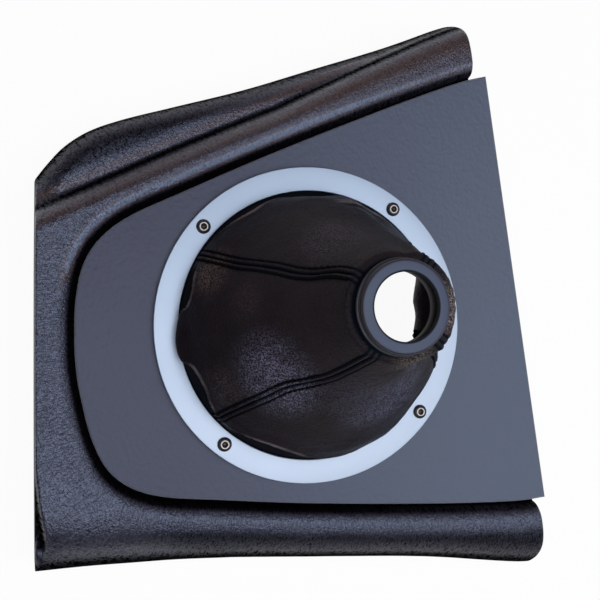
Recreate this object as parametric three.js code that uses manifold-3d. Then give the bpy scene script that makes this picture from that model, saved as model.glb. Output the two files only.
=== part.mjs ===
// Gear shift surround: a grained console moulding with two arms, a flat trim
// plate between them, and a sewn leather boot held down by a screwed metal ring.
// Sizes are in millimetres. X runs along the console towards its wide open end,
// Y runs across it and Z points up. The rims of the moulding stand on Z = 0.

import * as THREE from 'three';
import { mergeVertices } from 'three/addons/utils/BufferGeometryUtils.js';
import Module from 'manifold-3d';

const wasm = await Module();
wasm.setup();

// Boot ring, with the borders inside and outside its circle of screws
const screwCircleRadius = 68.4;
const screwAngles = [129.6, 44.7, -47.4, -137.1];
const ringInnerBorder = 5.4;
const ringOuterBorder = 5.6;
const ringThickness = 2;
const ringInnerRadius = screwCircleRadius - ringInnerBorder;
const ringOuterRadius = screwCircleRadius + ringOuterBorder;

// Trim plate
const plateThickness = 1.5;
const plateHoleInset = 1.8;
const plateFrontBorder = 35;
const plateRearBorder = 35.2;
// Distance behind the front edge, and how much wider than the ring the plate's half is there
const plateSideBorders = [[0, 33.1], [17, 31.3], [58, 22.9], [118, 8.7], [164, -3.7], [187, -10.4]];
// Distance ahead of the rear edge, and share of the last half width there
const plateRearCorner = [[17.2, 0.881], [8.2, 0.715], [3, 0.472], [0.5, 0.173]];
const plateFrontSlant = 0.0113;
const plateRearSlant = 0.055;
const plateLean = 0.008;
const plateLeanPivotX = 76;
const plateFrontX = ringOuterRadius + plateFrontBorder;
const plateRearX = -ringOuterRadius - plateRearBorder;
const plateHalfWidths = plateSideBorders.map(([place, border]) => [place, ringOuterRadius + border]);

// Console moulding
const wall = 2.8;
const plateHeight = 37.5;
const edgeGap = 1;
const ledgeWidth = 12;
const ledgeThickness = 2.5;
const armSetBack = 8;
const armFrontX = plateFrontX - armSetBack;
const crestRise = 7;
const crestReach = 8;
const ridgeFall = 13;
const wingRise = -5.5;
const wingRound = 2;
const wingLipReach = 12;
const wingLipFall = 10;
const wingEdgeFall = 5;
const lowerFall = 12;
const lowerFullness = 2.8;
const lowerInset = 5.5;
const wallDraft = 1.2;
// Distance behind the front of the arms, and distance of the valley's middle from the plate
const valleyReach = [[0, 28.5], [101, 19.8]];
// Distance behind the front of the arms, and how full the ridge's outer face is there
const faceFullness = [[0, 4.3], [101, 2]];
// Distance behind the front of the arms, and width of the moulding beside the plate
const upperArmWidths = [
  [0, 32], [33.5, 30.8], [73.5, 32.4], [111.6, 34.7], [147.9, 39.7],
  [173, 43.4], [187, 44.1], [199, 41.7], [208, 36.9], [213.8, 32.9],
];
const lowerArmWidths = [
  [0, 36.5], [50.1, 32.3], [94.5, 31.7], [148, 33], [177, 35], [199, 37.4], [221, 40], [242.7, 43.2],
];
const rearBorder = 17.4;
const rearCutX = plateRearX - rearBorder;
const rearCutSlant = 0.163;
const rearPocketSetBack = 7.6;
const rearPocketY = -75;
const rearPocketDepth = 15;
const rearPocketRound = 2.5;

// Leather boot
const leather = 1;
const hemSetBack = 0.6;
const hemClearance = 0.3;
const seamAngles = [138.3, 215, 324, 34];
const seamGap = 0.3;
const bootTopRadius = 18;
const bootTopDepth = 8.8;
// Share of the way out from the top's radius to the ring, and share of the height of
// the wall: where it stands full, where it is drawn tight, and across its inward fold
const bootWall = [
  [0.984, 0.009], [0.962, 0.093], [0.9, 0.186], [0.782, 0.313], [0.613, 0.476], [0.458, 0.603],
  [0.338, 0.708], [0.236, 0.806], [0.16, 0.887], [0.109, 0.951], [0.071, 0.986], [0, 1],
];
const bootTight = [
  [0.984, 0.009], [0.918, 0.093], [0.836, 0.186], [0.72, 0.313], [0.569, 0.476], [0.449, 0.603],
  [0.351, 0.708], [0.276, 0.806], [0.214, 0.887], [0.15, 0.951], [0.109, 0.988], [0, 1],
];
const bootFold = [
  [0.984, 0.009], [0.929, 0.093], [0.858, 0.186], [0.744, 0.313], [0.567, 0.476], [0.353, 0.603],
  [0.127, 0.708], [0.044, 0.771], [0.08, 0.847], [0.169, 0.934], [0.156, 0.984], [0, 1],
];
// Angles from the tight side's middle between which the wall changes over
const tightSide = { middle: 4, from: 52, to: 66 };
const foldSide = { middle: -13, from: 14, to: 78 };

// Collar on top of the boot
const collarHeight = 95;
const collarX = 9.9;
const collarY = 6.8;
const collarTilt = 3;
const collarHoleRadius = 13;
const collarFaceRadius = 18;
const collarLipRadius = 18.7;
const collarThickness = 5;
const collarLip = 1.2;
const collarChamfer = 0.8;
const collarLipHeight = 1;
const sleeveWall = 1;
const sleeveLength = 7.8;
const sleeveSetBack = 0.8;
const sleeveTopClearance = 0.3;
const neckClearance = 0.3;
// Depths below the collar's skirt and lip at which the leather turns upright, enters and ends
const neckBend = 2.4;
const neckBendInside = 3;
const neckMouth = 0.5;
const neckTopGap = 1;

// Ring screws, with their washers and nuts
const ringScrew = { shank: 1.5, head: 2.85, headHeight: 1.65, socket: 2, socketDepth: 1.05, length: 8.5 };
// Share of the head's radius and share of its height round its domed edge
const screwDome = [[1, 0.2], [0.93, 0.55], [0.78, 0.85], [0.58, 1]];
const screwFirstTurn = 20;
const screwNextTurn = 25;
const screwClearance = 0.2;
const ringWasher = { radius: 3.5, thickness: 0.5 };
const ringNut = { acrossFlats: 5.5, thickness: 2.4 };
const ringNutRelief = 1.5;

// Studs on the back of the plate, with their nuts
const plateStud = { radius: 2, tail: 2.5, chamfer: 0.4 };
const plateStudDistances = [34, 144];
const studNut = { acrossFlats: 7, thickness: 3.2 };
const threadClearance = 0.1;
const studClearance = 0.3;

// Fineness of the curved surfaces
const stationCount = 84;
const rowShares = [0, 0.015, 0.05, 0.12, 0.22, 0.33, 0.43, 0.5, 0.56, 0.62, 0.69, 0.78, 0.87, 0.95, 1];
const ringSegments = 96;
const collarSegments = 64;
const sleeveSegments = 48;
const holeSegments = 16;
const bootTurns = 13;
const outlineStep = 4;
const solverTurns = 40;
const slopeProbe = 0.5;
const steepestSlope = 3;
const weldDistance = 1e-4;
const nearlyNothing = 1e-6;

// Heights that follow from the sizes above
const ledgeBottomZ = plateHeight - ledgeThickness;
const plateTopZ = plateHeight + plateThickness;
const ringBottomZ = plateTopZ + leather;
const ringTopZ = ringBottomZ + ringThickness;
const crestZ = plateTopZ + crestRise;
const wingZ = plateTopZ + wingRise;
const screwBore = ringScrew.shank + screwClearance;

const radians = THREE.MathUtils.degToRad;
const { lerp, clamp, smoothstep } = THREE.MathUtils;

const paints = {
  shell: { color: 0x1c1a1d, roughness: 0.5, metalness: 0 },
  plate: { color: 0x464e5d, roughness: 0.45, metalness: 0.1 },
  ring: { color: 0xb7c6de, roughness: 0.35, metalness: 0.85 },
  leather: { color: 0x211c1e, roughness: 0.55, metalness: 0 },
  collar: { color: 0x3a3f4b, roughness: 0.45, metalness: 0 },
  sleeve: { color: 0x2b2422, roughness: 0.5, metalness: 0 },
  steel: { color: 0x6d6a66, roughness: 0.35, metalness: 0.9 },
};

const surround = new THREE.Group();

function addPiece(name, geometry, paint, parent = surround) {
  const mesh = new THREE.Mesh(geometry, new THREE.MeshStandardMaterial(paints[paint]));
  mesh.name = name;
  parent.add(mesh);
  return mesh;
}

// Straight-line reading of a table of [place, value] rows, running on past its ends
function readTable(rows, place) {
  let k = 1;
  while (k < rows.length - 1 && place > rows[k][0]) k += 1;
  const [p0, v0] = rows[k - 1];
  const [p1, v1] = rows[k];
  return v0 + ((v1 - v0) * (place - p0)) / (p1 - p0);
}

// Smooth reading of the same kind of table
function readCurve(rows, place) {
  if (place <= rows[0][0] || place >= rows[rows.length - 1][0]) return readTable(rows, place);
  let k = 1;
  while (place > rows[k][0]) k += 1;
  const slope = (i) => {
    const a = rows[Math.max(i - 1, 0)];
    const b = rows[Math.min(i + 1, rows.length - 1)];
    return (b[1] - a[1]) / (b[0] - a[0]);
  };
  const [p0, v0] = rows[k - 1];
  const [p1, v1] = rows[k];
  const span = p1 - p0;
  const t = (place - p0) / span;
  const rise = t * t * (3 - 2 * t);
  const start = t * (1 - t) * (1 - t) * span * slope(k - 1);
  const end = t * t * (t - 1) * span * slope(k);
  return v0 + (v1 - v0) * rise + start + end;
}

// Plate outline: one smooth curve from the front edge round the rear and back
function skewed(x, y) {
  const along = (x - plateRearX) / (plateFrontX - plateRearX);
  const slant = lerp(plateRearSlant, plateFrontSlant, along);
  return new THREE.Vector2(x + slant * y, y + plateLean * (x - plateLeanPivotX));
}

function plateCurve() {
  const [, cornerWidth] = plateHalfWidths[plateHalfWidths.length - 1];
  const half = [
    ...plateHalfWidths.map(([d, w]) => [plateFrontX - d, w]),
    ...plateRearCorner.map(([d, share]) => [plateRearX + d, share * cornerWidth]),
  ];
  const lower = [...half].reverse().map(([x, y]) => [x, -y]);
  const points = [...half, [plateRearX, 0], ...lower];
  return new THREE.SplineCurve(points.map(([x, y]) => skewed(x, y)));
}

const plateEdge = plateCurve();

// Half width of the plate's long edges, carried on straight past the rear corner
function halfWidth(x) {
  return readCurve(plateHalfWidths, plateFrontX - x);
}

// Outer edge of the moulding on each side of the plate
function outerY(x, side) {
  const rows = side > 0 ? upperArmWidths : lowerArmWidths;
  return side * (halfWidth(x) + readCurve(rows, armFrontX - x));
}

function rearCut(y) {
  return rearCutX + rearCutSlant * y;
}

// Outline of the moulding seen from above, without its front ends
function cornerOnCut(side) {
  let x = rearCutX;
  for (let turn = 0; turn < solverTurns; turn += 1) x = rearCut(outerY(x, side));
  return [x, outerY(x, side)];
}

function outerRow(side) {
  const points = [];
  for (let x = armFrontX; x > rearCut(outerY(x, side)); x -= outlineStep) points.push([x, outerY(x, side)]);
  return [...points, cornerOnCut(side)];
}

const upperRow = outerRow(1);
const lowerRow = outerRow(-1);
const outline = [...upperRow, ...lowerRow.toReversed()];

// Where a line from a point leaves the outline of the moulding
function reachBoundary(from, way) {
  let best = Infinity;
  for (let k = 1; k < outline.length; k += 1) {
    const [ax, ay] = outline[k - 1];
    const ex = outline[k][0] - ax;
    const ey = outline[k][1] - ay;
    const cross = way.x * ey - way.y * ex;
    if (Math.abs(cross) < Number.EPSILON) continue;
    const t = ((ax - from.x) * ey - (ay - from.y) * ex) / cross;
    const u = ((ax - from.x) * way.y - (ay - from.y) * way.x) / cross;
    if (t > 0 && Math.abs(u - 0.5) <= 0.5 + nearlyNothing && t < best) best = t;
  }
  return best;
}

function distanceToRows(x, y, rows) {
  let best = Infinity;
  for (let k = 1; k < rows.length; k += 1) {
    const [ax, ay] = rows[k - 1];
    const ex = rows[k][0] - ax;
    const ey = rows[k][1] - ay;
    const t = clamp(((x - ax) * ex + (y - ay) * ey) / (ex * ex + ey * ey), 0, 1);
    best = Math.min(best, Math.hypot(x - ax - t * ex, y - ay - t * ey));
  }
  return best;
}

function smoothMax(a, b, blend) {
  const h = clamp(0.5 + (0.5 * (a - b)) / blend, 0, 1);
  return lerp(b, a, h) + blend * h * (1 - h);
}

// Height of the moulding's top surface. The ridge beside the plate has a round
// inner edge. Outwards it falls to a valley and a wing on the upper side, and
// to the plain side wall on the lower side.
function innerRound(inset) {
  const t = clamp(1 - inset / crestReach, 0, 1);
  return crestRise * (1 - Math.sqrt(Math.max(1 - t * t, 0)));
}

function ridgeHeight(beside, reach, fall, fullness) {
  const t = Math.max(beside - crestReach, 0) / (reach - crestReach);
  return crestZ - fall * t ** fullness;
}

function wingHeight(inset) {
  const t = clamp(1 - inset / wingLipReach, 0, 1);
  return wingZ - wingLipFall * t ** 2 - wingEdgeFall * t ** 6;
}

function shellHeight(x, y, inset) {
  const behind = armFrontX - x;
  let z;
  if (y > 0) {
    const beside = y - halfWidth(x);
    const shapedFor = Math.min(behind, valleyReach[1][0]);
    const reach = readTable(valleyReach, shapedFor);
    const ridge = ridgeHeight(beside, reach, ridgeFall, readTable(faceFullness, shapedFor));
    z = smoothMax(ridge, wingHeight(distanceToRows(x, y, upperRow)), wingRound);
  } else {
    const beside = -y - halfWidth(x);
    const width = readCurve(lowerArmWidths, behind);
    z = ridgeHeight(beside, width - lowerInset, lowerFall, lowerFullness);
  }
  const inPocket = Math.min(rearCutX - rearPocketSetBack - x, y - rearPocketY);
  const drop = smoothstep(inPocket, -rearPocketRound / 2, rearPocketRound);
  return z - innerRound(inset) - rearPocketDepth * drop;
}

// Closed solid between two grids of points of the same size. Rows then columns
// turn as X then Y do, seen from the side that the top grid faces.
function thickSheet(top, bottom) {
  const rows = top.length;
  const columns = top[0].length;
  const positions = [...top.flat(), ...bottom.flat()].flatMap((p) => [p.x, p.y, p.z]);
  const at = (layer, i, j) => layer * rows * columns + i * columns + j;
  const faces = [];
  const quad = (a, b, c, d) => faces.push(a, b, c, a, c, d);
  for (let i = 1; i < rows; i += 1) {
    for (let j = 1; j < columns; j += 1) {
      quad(at(0, i - 1, j - 1), at(0, i, j - 1), at(0, i, j), at(0, i - 1, j));
      quad(at(1, i - 1, j - 1), at(1, i - 1, j), at(1, i, j), at(1, i, j - 1));
    }
    quad(at(0, i - 1, 0), at(1, i - 1, 0), at(1, i, 0), at(0, i, 0));
    const last = columns - 1;
    quad(at(0, i, last), at(1, i, last), at(1, i - 1, last), at(0, i - 1, last));
  }
  for (let j = 1; j < columns; j += 1) {
    quad(at(0, 0, j - 1), at(0, 0, j), at(1, 0, j), at(1, 0, j - 1));
    const end = rows - 1;
    quad(at(0, end, j), at(0, end, j - 1), at(1, end, j - 1), at(1, end, j));
  }
  const geometry = new THREE.BufferGeometry();
  geometry.setAttribute('position', new THREE.Float32BufferAttribute(positions, 3));
  geometry.setIndex(faces);
  return geometry;
}

function toSolid(geometry) {
  const plain = geometry.clone();
  plain.deleteAttribute('normal');
  plain.deleteAttribute('uv');
  const merged = mergeVertices(plain, weldDistance);
  const vertProperties = new Float32Array(merged.attributes.position.array);
  const triVerts = new Uint32Array(merged.index.array);
  return new wasm.Manifold(new wasm.Mesh({ numProp: 3, vertProperties, triVerts }));
}

function fromSolid(solid) {
  const mesh = solid.getMesh();
  const geometry = new THREE.BufferGeometry();
  geometry.setAttribute('position', new THREE.Float32BufferAttribute(mesh.vertProperties, 3));
  geometry.setIndex([...mesh.triVerts]);
  return geometry.toNonIndexed();
}

// Moulding: stations follow the plate's edge, and each has one row of points outwards
function edgeParameter(x, from, to) {
  let low = from;
  let high = to;
  for (let turn = 0; turn < solverTurns; turn += 1) {
    const middle = (low + high) / 2;
    if (plateEdge.getPoint(middle).x > x) low = middle;
    else high = middle;
  }
  return (low + high) / 2;
}

function shellStations() {
  const rearMiddle = 0.5;
  const start = edgeParameter(armFrontX, 0, rearMiddle);
  const end = edgeParameter(armFrontX, 1, rearMiddle);
  const stations = [];
  for (let k = 0; k <= stationCount; k += 1) {
    const t = lerp(start, end, k / stationCount);
    const point = plateEdge.getPoint(t);
    const tangent = plateEdge.getTangent(t);
    const normal = new THREE.Vector2(tangent.y, -tangent.x).negate();
    if (normal.dot(point) < 0) normal.negate();
    const square = new THREE.Vector2(0, Math.sign(point.y) || 1);
    const turned = smoothstep(armFrontX - point.x, 0, armFrontX);
    const way = square.lerp(normal, turned).normalize();
    const inner = point.clone().addScaledVector(way, edgeGap);
    const length = reachBoundary(inner, way);
    stations.push({ inner, way, length, outer: inner.clone().addScaledVector(way, length) });
  }
  for (const [x, y] of [cornerOnCut(1), cornerOnCut(-1)]) {
    const corner = new THREE.Vector2(x, y);
    const near = stations.reduce((a, b) => (a.outer.distanceTo(corner) < b.outer.distanceTo(corner) ? a : b));
    near.outer = corner;
    near.way = corner.clone().sub(near.inner).normalize();
    near.length = corner.distanceTo(near.inner);
  }
  return stations;
}

function consoleShell() {
  const top = [];
  const bottom = [];
  const at = (p, z) => new THREE.Vector3(p.x, p.y, z);
  for (const { inner, way, length } of shellStations().reverse()) {
    const out = (d) => inner.clone().addScaledVector(way, d);
    const heightAt = (d) => shellHeight(out(d).x, out(d).y, d);
    const slopeAt = (d) => (heightAt(d + slopeProbe) - heightAt(d - slopeProbe)) / (2 * slopeProbe);
    const lipIn = out(-ledgeWidth - edgeGap);
    const topRow = [at(lipIn, plateHeight), at(inner, plateHeight)];
    const bottomRow = [at(lipIn, ledgeBottomZ), at(out(wall), ledgeBottomZ)];
    for (const share of rowShares) {
      const d = length * share;
      topRow.push(at(out(d), heightAt(d)));
      const e = wall + (length - 2 * wall) * share;
      const slope = Math.min(Math.abs(slopeAt(e)), steepestSlope);
      const z = heightAt(e) - wall * Math.hypot(1, slope);
      bottomRow.push(at(out(e), Math.max(z, wall)));
    }
    bottomRow[2].z = Math.min(bottomRow[2].z, bottomRow[3].z);
    topRow.push(at(out(length + wallDraft), 0));
    bottomRow.push(at(out(length + wallDraft - wall), 0));
    top.push(topRow);
    bottom.push(bottomRow);
  }
  let solid = toSolid(thickSheet(top, bottom));
  for (const row of [top[0], top[top.length - 1]]) solid = solid.add(toSolid(endWall(row)));
  for (const place of studPlaces()) {
    solid = solid.subtract(drill(place, plateStud.radius + studClearance, plateHeight, 4 * ledgeThickness));
  }
  const relief = ringNut.acrossFlats / Math.sqrt(3) + ringNutRelief;
  for (const place of screwPlaces()) {
    solid = solid.subtract(drill(place, relief, plateHeight, 4 * ledgeThickness));
  }
  return fromSolid(solid);
}

// Upright cylinder to cut a hole with, at a place seen from above
function drill(place, radius, middleZ, height) {
  const cylinder = new THREE.CylinderGeometry(radius, radius, height, holeSegments);
  return toSolid(cylinder.rotateX(Math.PI / 2).translate(place.x, place.y, middleZ));
}

// Flat wall that closes the front end of an arm
function endWall(row) {
  const profile = row.slice(1).map((p) => new THREE.Vector2(p.y, p.z));
  profile.push(new THREE.Vector2(row[1].y, 0));
  if (THREE.ShapeUtils.area(profile) < 0) profile.reverse();
  const slab = new THREE.ExtrudeGeometry(new THREE.Shape(profile), { depth: wall, bevelEnabled: false });
  const basis = new THREE.Matrix4().makeBasis(
    new THREE.Vector3(0, 1, 0),
    new THREE.Vector3(0, 0, 1),
    new THREE.Vector3(1, 0, 0),
  );
  return slab.applyMatrix4(basis).translate(armFrontX - wall, 0, 0);
}

// Plate
function circlePoints(x, y, radius, segments) {
  return Array.from({ length: segments }, (_, k) => {
    const angle = (2 * Math.PI * k) / segments;
    return new THREE.Vector2(x + radius * Math.cos(angle), y + radius * Math.sin(angle));
  });
}

function screwPlaces() {
  return screwAngles.map((angle) => new THREE.Vector2(
    screwCircleRadius * Math.cos(radians(angle)),
    screwCircleRadius * Math.sin(radians(angle)),
  ));
}

// The round opening and the four screw holes that the ring and the plate share
function addRingHoles(shape, radius) {
  const rounds = [circlePoints(0, 0, radius, ringSegments)];
  for (const place of screwPlaces()) rounds.push(circlePoints(place.x, place.y, screwBore, holeSegments));
  shape.holes.push(...rounds.map((points) => new THREE.Path(points)));
}

function trimPlate() {
  const shape = new THREE.Shape(plateEdge.getPoints(stationCount));
  addRingHoles(shape, ringInnerRadius - plateHoleInset);
  const slab = new THREE.ExtrudeGeometry(shape, { depth: plateThickness, bevelEnabled: false });
  return slab.translate(0, 0, plateHeight);
}

function bootRing() {
  const shape = new THREE.Shape(circlePoints(0, 0, ringOuterRadius, ringSegments));
  addRingHoles(shape, ringInnerRadius);
  const slab = new THREE.ExtrudeGeometry(shape, { depth: ringThickness, bevelEnabled: false });
  return slab.translate(0, 0, ringBottomZ);
}

// Solid of revolution from [radius, height] points that start and end on the axis
function turned(points, segments = holeSegments) {
  const profile = points.map(([r, z]) => new THREE.Vector2(r, z));
  return new THREE.LatheGeometry(profile, segments).rotateX(Math.PI / 2);
}

function hexPrism(acrossFlats, height) {
  const radius = acrossFlats / Math.sqrt(3);
  return new THREE.CylinderGeometry(radius, radius, height, 6).rotateX(Math.PI / 2);
}

// Button-head screw: its head stands on Z = 0 and its shank points down
function buttonScrew(size) {
  const { shank, head, headHeight, socket, socketDepth, length } = size;
  const dome = screwDome.map(([out, up]) => [head * out, headHeight * up]);
  const body = turned([[0, -length], [shank, -length], [shank, 0], [head, 0], ...dome, [0, headHeight]]);
  const recess = hexPrism(socket, 2 * socketDepth).translate(0, 0, headHeight);
  return fromSolid(toSolid(body).subtract(toSolid(recess)));
}

function nut(size, bore) {
  const body = toSolid(hexPrism(size.acrossFlats, size.thickness));
  return fromSolid(body.subtract(drill(new THREE.Vector2(), bore, 0, 2 * size.thickness)));
}

function washer(size, bore) {
  const { radius, thickness } = size;
  return turned([[bore, -thickness], [radius, -thickness], [radius, 0], [bore, 0], [bore, -thickness]]);
}

function addRingFasteners() {
  screwPlaces().forEach((place, index) => {
    const number = index + 1;
    const screw = addPiece(`ring_screw_${number}`, buttonScrew(ringScrew), 'steel');
    screw.position.set(place.x, place.y, ringTopZ);
    screw.rotation.z = radians(screwFirstTurn + screwNextTurn * index);
    const washerGeometry = washer(ringWasher, screwBore);
    addPiece(`ring_washer_${number}`, washerGeometry, 'steel').position.set(place.x, place.y, plateHeight);
    const nutGeometry = nut(ringNut, ringScrew.shank + threadClearance);
    const nutZ = plateHeight - ringWasher.thickness - ringNut.thickness / 2;
    addPiece(`ring_nut_${number}`, nutGeometry, 'steel').position.set(place.x, place.y, nutZ);
  });
}

// Studs stand on the middle of the ledge that carries the plate
function studPlaces() {
  const places = [];
  for (const distance of plateStudDistances) {
    for (const side of [1, -1]) {
      const x = armFrontX - distance;
      const edge = skewed(x, side * halfWidth(x));
      places.push(new THREE.Vector2(edge.x, edge.y - side * (ledgeWidth / 2)));
    }
  }
  return places;
}

function addPlateStuds() {
  const length = ledgeThickness + studNut.thickness + plateStud.tail;
  studPlaces().forEach((place, index) => {
    const number = index + 1;
    const { radius, chamfer } = plateStud;
    const tip = [[0, -length], [radius - chamfer, -length], [radius, chamfer - length]];
    const stud = turned([...tip, [radius, 0], [0, 0]]);
    addPiece(`plate_stud_${number}`, stud, 'steel').position.set(place.x, place.y, plateHeight);
    const nutGeometry = nut(studNut, radius + threadClearance);
    const nutZ = ledgeBottomZ - studNut.thickness / 2;
    addPiece(`stud_nut_${number}`, nutGeometry, 'steel').position.set(place.x, place.y, nutZ);
  });
}

// Collar frame: its origin is the middle of the top face
const collarFrame = new THREE.Group();
collarFrame.position.set(collarX, collarY, ringTopZ + collarHeight);
collarFrame.rotation.y = radians(collarTilt);
collarFrame.updateMatrix();

// The sleeve stands inside the neck of the boot, and the collar's skirt outside it
const sleeveInner = collarHoleRadius + sleeveSetBack;
const sleeveOuter = sleeveInner + sleeveWall;
const neckInner = sleeveOuter + neckClearance;
const neckOuter = neckInner + leather;
const skirtInner = neckOuter + neckClearance;

function bootCollar() {
  const lipTop = collarLipHeight - collarThickness;
  return turned([
    [collarHoleRadius, 0], [collarHoleRadius, -collarLip], [skirtInner, -collarLip],
    [skirtInner, -collarThickness], [collarLipRadius, -collarThickness],
    [collarLipRadius, lipTop], [collarFaceRadius, lipTop + collarChamfer],
    [collarFaceRadius, -collarChamfer], [collarFaceRadius - collarChamfer, 0], [collarHoleRadius, 0],
  ], collarSegments);
}

function collarSleeve() {
  const topZ = -collarLip - sleeveTopClearance;
  return turned([
    [sleeveInner, topZ], [sleeveInner, topZ - sleeveLength], [sleeveOuter, topZ - sleeveLength],
    [sleeveOuter, topZ], [sleeveInner, topZ],
  ], sleeveSegments);
}

// Boot: each panel is a leather sector with its hem under the ring and its neck in the collar
function bootCentre(height) {
  const sway = smoothstep(height, 0, collarHeight);
  return { x: collarX * sway, y: collarY * sway, tilt: radians(collarTilt) * sway };
}

function bootPoint(radius, height, angle) {
  const { x, y, tilt } = bootCentre(height);
  const across = radius * Math.cos(angle);
  const away = radius * Math.sin(angle);
  return new THREE.Vector3(
    x + across * Math.cos(tilt),
    y + away,
    ringTopZ + height - across * Math.sin(tilt),
  );
}

function neckPoint(radius, depth, angle) {
  const point = new THREE.Vector3(radius * Math.cos(angle), radius * Math.sin(angle), -depth);
  return point.applyMatrix4(collarFrame.matrix);
}

// How far the wall has the shape of a side at an angle: 1 at the side's middle, 0 away from it
function sideShare(angle, side) {
  const turn = THREE.MathUtils.euclideanModulo(THREE.MathUtils.radToDeg(angle) - side.middle + 180, 360);
  return 1 - smoothstep(Math.abs(turn - 180), side.from, side.to);
}

function bootMeridian(angle) {
  const tight = sideShare(angle, tightSide);
  const fold = sideShare(angle, foldSide);
  return bootWall.map((full, k) => {
    const [out, up] = [0, 1].map((n) => lerp(lerp(full[n], bootTight[k][n], tight), bootFold[k][n], fold));
    return [lerp(bootTopRadius, ringInnerRadius, out), (collarHeight - bootTopDepth) * up];
  });
}

function bootPanel(from, to) {
  const top = [];
  const bottom = [];
  // Half a seam gap is left free at both sides of the sector, at every radius
  const turnAt = (share, radius) => {
    const margin = seamGap / 2 / radius;
    return lerp(from + margin, to - margin, share);
  };
  const hemOuter = ringOuterRadius - hemSetBack;
  const hemTop = -ringThickness;
  const hemInner = ringInnerRadius - hemClearance;
  for (let k = 0; k <= bootTurns; k += 1) {
    const share = k / bootTurns;
    const wallRows = bootMeridian(lerp(from, to, share));
    const outside = [[hemOuter, hemTop], [hemInner, hemTop], ...wallRows];
    const inside = [[hemOuter, hemTop - leather], [hemInner - leather, hemTop - leather]];
    wallRows.forEach(([r, h], j) => {
      const before = outside[j + 1];
      const after = wallRows[Math.min(j + 1, wallRows.length - 1)];
      const way = new THREE.Vector2(after[0] - before[0], after[1] - before[1]).normalize();
      inside.push([r - leather * way.y, h + leather * way.x]);
    });
    const entries = [collarThickness + neckMouth, collarLip + neckTopGap];
    const necks = [collarThickness + neckBend, ...entries];
    const neckLinings = [collarThickness + neckBendInside, ...entries];
    top.push([
      ...outside.map(([r, h]) => bootPoint(r, h, turnAt(share, r))),
      ...necks.map((depth) => neckPoint(neckOuter, depth, turnAt(share, neckOuter))),
    ]);
    bottom.push([
      ...inside.map(([r, h]) => bootPoint(r, h, turnAt(share, r))),
      ...neckLinings.map((depth) => neckPoint(neckInner, depth, turnAt(share, neckInner))),
    ]);
  }
  let solid = toSolid(thickSheet(top, bottom));
  for (const place of screwPlaces()) solid = solid.subtract(drill(place, screwBore, plateTopZ, 4 * leather));
  return fromSolid(solid);
}

function addBoot() {
  const names = ['left', 'lower', 'right', 'upper'];
  names.forEach((name, index) => {
    const start = seamAngles[index];
    const end = seamAngles[(index + 1) % seamAngles.length];
    const sweep = ((end - start) % 360 + 360) % 360;
    addPiece(`boot_panel_${name}`, bootPanel(radians(start), radians(start + sweep)), 'leather');
  });
}

addPiece('console_shell', consoleShell(), 'shell');
addPiece('trim_plate', trimPlate(), 'plate');
addPiece('boot_ring', bootRing(), 'ring');
addBoot();
addPiece('boot_collar', bootCollar(), 'collar', collarFrame);
addPiece('collar_sleeve', collarSleeve(), 'sleeve', collarFrame);
surround.add(collarFrame);
addRingFasteners();
addPlateStuds();

// The middle of the footprint comes to X = Y = 0, and the rims stand on Z = 0
surround.updateMatrixWorld(true);
const middle = new THREE.Box3().setFromObject(surround, true).getCenter(new THREE.Vector3());
surround.position.set(-middle.x, -middle.y, 0);

export default surround;
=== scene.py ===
import math

import bmesh
import bpy
import numpy as np
from mathutils import Euler, Matrix, Vector, noise


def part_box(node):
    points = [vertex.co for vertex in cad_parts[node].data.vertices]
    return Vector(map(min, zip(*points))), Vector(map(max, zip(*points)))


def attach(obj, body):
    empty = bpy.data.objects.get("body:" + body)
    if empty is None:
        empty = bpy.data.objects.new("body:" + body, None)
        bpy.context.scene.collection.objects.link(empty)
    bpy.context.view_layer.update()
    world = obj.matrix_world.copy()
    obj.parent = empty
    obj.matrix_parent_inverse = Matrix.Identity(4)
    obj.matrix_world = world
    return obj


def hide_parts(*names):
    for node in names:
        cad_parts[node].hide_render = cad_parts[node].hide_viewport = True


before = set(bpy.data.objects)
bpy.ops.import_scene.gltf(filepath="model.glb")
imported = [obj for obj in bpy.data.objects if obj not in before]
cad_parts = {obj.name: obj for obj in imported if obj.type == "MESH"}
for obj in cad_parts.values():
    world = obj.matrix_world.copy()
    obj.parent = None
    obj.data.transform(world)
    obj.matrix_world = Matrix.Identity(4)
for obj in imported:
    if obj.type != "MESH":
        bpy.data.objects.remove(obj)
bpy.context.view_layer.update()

# Gear shift surround: a grained console moulding with two arms, a flat trim plate
# between them, and a sewn leather boot under a screwed ring.
# Sizes are in millimetres from the middle of the ring, and heights from the rims.

MM = 0.001

ring_low, ring_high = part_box("boot_ring")
plate_low, plate_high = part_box("trim_plate")
collar_low, collar_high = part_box("boot_collar")
RING_MIDDLE = (ring_low + ring_high) / 2 / MM
RING_OUTER = (ring_high.x - ring_low.x) / 2 / MM
RING_BOTTOM = ring_low.z / MM
RING_TOP = ring_high.z / MM
PLATE_BOTTOM = plate_low.z / MM
PLATE_TOP = plate_high.z / MM

# Ring and its screws
SCREW_CIRCLE = 68.4
SCREW_ANGLES = (129.6, 44.7, -47.4, -137.1)
RING_INNER = SCREW_CIRCLE - 5.4
RING_EDGE = 0.3

# Trim plate: distance behind the front edge and half width there, then the rear corner
PLATE_HOLE = RING_INNER - 1.8
PLATE_FRONT = RING_OUTER + 35
PLATE_REAR = -RING_OUTER - 35.2
PLATE_HALF_WIDTHS = ((0, 107.1), (17, 105.3), (58, 96.9), (118, 82.7), (164, 70.3), (187, 63.6))
PLATE_REAR_CORNER = ((17.2, 56.03), (8.2, 45.47), (3, 30.02), (0.5, 11))
PLATE_FRONT_SLANT = 0.0113
PLATE_REAR_SLANT = 0.055
PLATE_LEAN = 0.008
PLATE_LEAN_PIVOT = 76
PLATE_BEVEL = 0.7

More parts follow.
